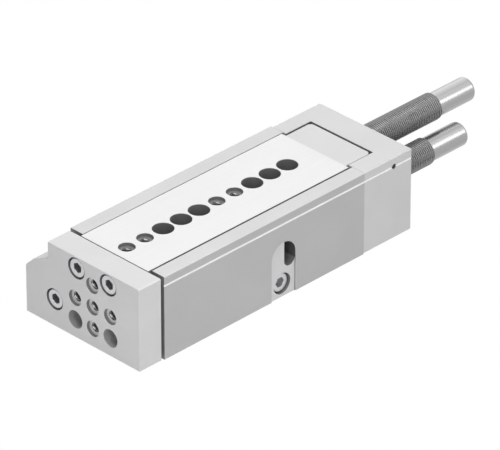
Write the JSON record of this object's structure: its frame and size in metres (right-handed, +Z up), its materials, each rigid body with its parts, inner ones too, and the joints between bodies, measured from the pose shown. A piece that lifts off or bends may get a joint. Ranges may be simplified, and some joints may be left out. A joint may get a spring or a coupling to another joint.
{
  "type": "pneumatic slide table",
  "caption": "Guided pneumatic slide table: a ball-guided table and yoke plate driven by a side cylinder, with threaded hydraulic absorbers at its rear.",
  "frame": {"origin": "middle of the housing's flat underside, without the rear cap", "axes": "+X is the direction in which the table advances, +Y is the side with the line groove and the stop insert, +Z is up, away from the mounting face"},
  "size_m": [0.2151, 0.065, 0.0387],
  "materials": {
    "anodised_side": "satin clear anodised",
    "anodised_cap": "satin clear anodised",
    "anodised_yoke": "satin clear anodised",
    "ground_steel": "fine ground",
    "rail_steel": "ground",
    "carrier_grey": "satin clear anodised",
    "insert_steel": "satin",
    "screw_steel": "zinc plated",
    "dark_screw_steel": "blackened",
    "sleeve_steel": "dark burnished thread",
    "tube_steel": "polished",
    "rod_steel": "hard chromed",
    "ball_steel": "polished",
    "cage_brass": "rolled",
    "bearing_bronze": "turned",
    "piston_alloy": "turned",
    "plug_alloy": "turned",
    "magnet": "sintered",
    "seal_rubber": "matt black",
    "ring_steel": "phosphated"
  },
  "bodies": {
    "base": {"housing": "anodised_side", "rail_left": "rail_steel", "rail_right": "rail_steel", "rear_cap": "anodised_cap", "cap_screws": "dark_screw_steel", "end_plug": "plug_alloy", "plug_seal": "seal_rubber", "rod_bearing": "bearing_bronze", "rod_seal": "seal_rubber", "retaining_ring": "ring_steel", "stop_insert": "insert_steel", "stop_screw": "screw_steel", "retract_sleeve": "sleeve_steel", "retract_tube": "tube_steel", "retract_set_screw": "dark_screw_steel"},
    "slide": {"table": "ground_steel", "yoke_plate": "anodised_yoke", "table_screws": "screw_steel", "rod_screw": "screw_steel", "piston_rod": "rod_steel", "piston": "piston_alloy", "piston_seals": "seal_rubber", "piston_magnet": "magnet", "carrier_block": "carrier_grey", "carrier_screws": "dark_screw_steel", "advance_sleeve": "sleeve_steel", "advance_tube": "tube_steel"},
    "left_cage": {"cage_left": "cage_brass", "balls_left": "ball_steel"},
    "right_cage": {"cage_right": "cage_brass", "balls_right": "ball_steel"},
    "retract_pin": {"retract_plunger": "rod_steel"},
    "advance_pin": {"advance_plunger": "rod_steel"}
  },
  "joints": [
    {"name": "table_slide", "type": "slide", "parent": "base", "child": "slide", "axis": [1, 0, 0], "range_m": [0, 0.05]},
    {"name": "left_cage_slide", "type": "slide", "parent": "base", "child": "left_cage", "axis": [1, 0, 0], "range_m": [0, 0.025]},
    {"name": "right_cage_slide", "type": "slide", "parent": "base", "child": "right_cage", "axis": [1, 0, 0], "range_m": [0, 0.025]},
    {"name": "retract_plunger_slide", "type": "slide", "parent": "base", "child": "retract_pin", "axis": [1, 0, 0], "range_m": [0, 0.014]},
    {"name": "advance_plunger_slide", "type": "slide", "parent": "slide", "child": "advance_pin", "axis": [-1, 0, 0], "range_m": [0, 0.014]}
  ],
  "couplings": [
    {"joint": "left_cage_slide", "follows": "table_slide", "ratio": 0.5},
    {"joint": "right_cage_slide", "follows": "table_slide", "ratio": 0.5},
    {"joint": "retract_plunger_slide", "follows": "table_slide", "ratio": 0.28},
    {"joint": "advance_plunger_slide", "follows": "table_slide", "ratio": 0.28}
  ]
}
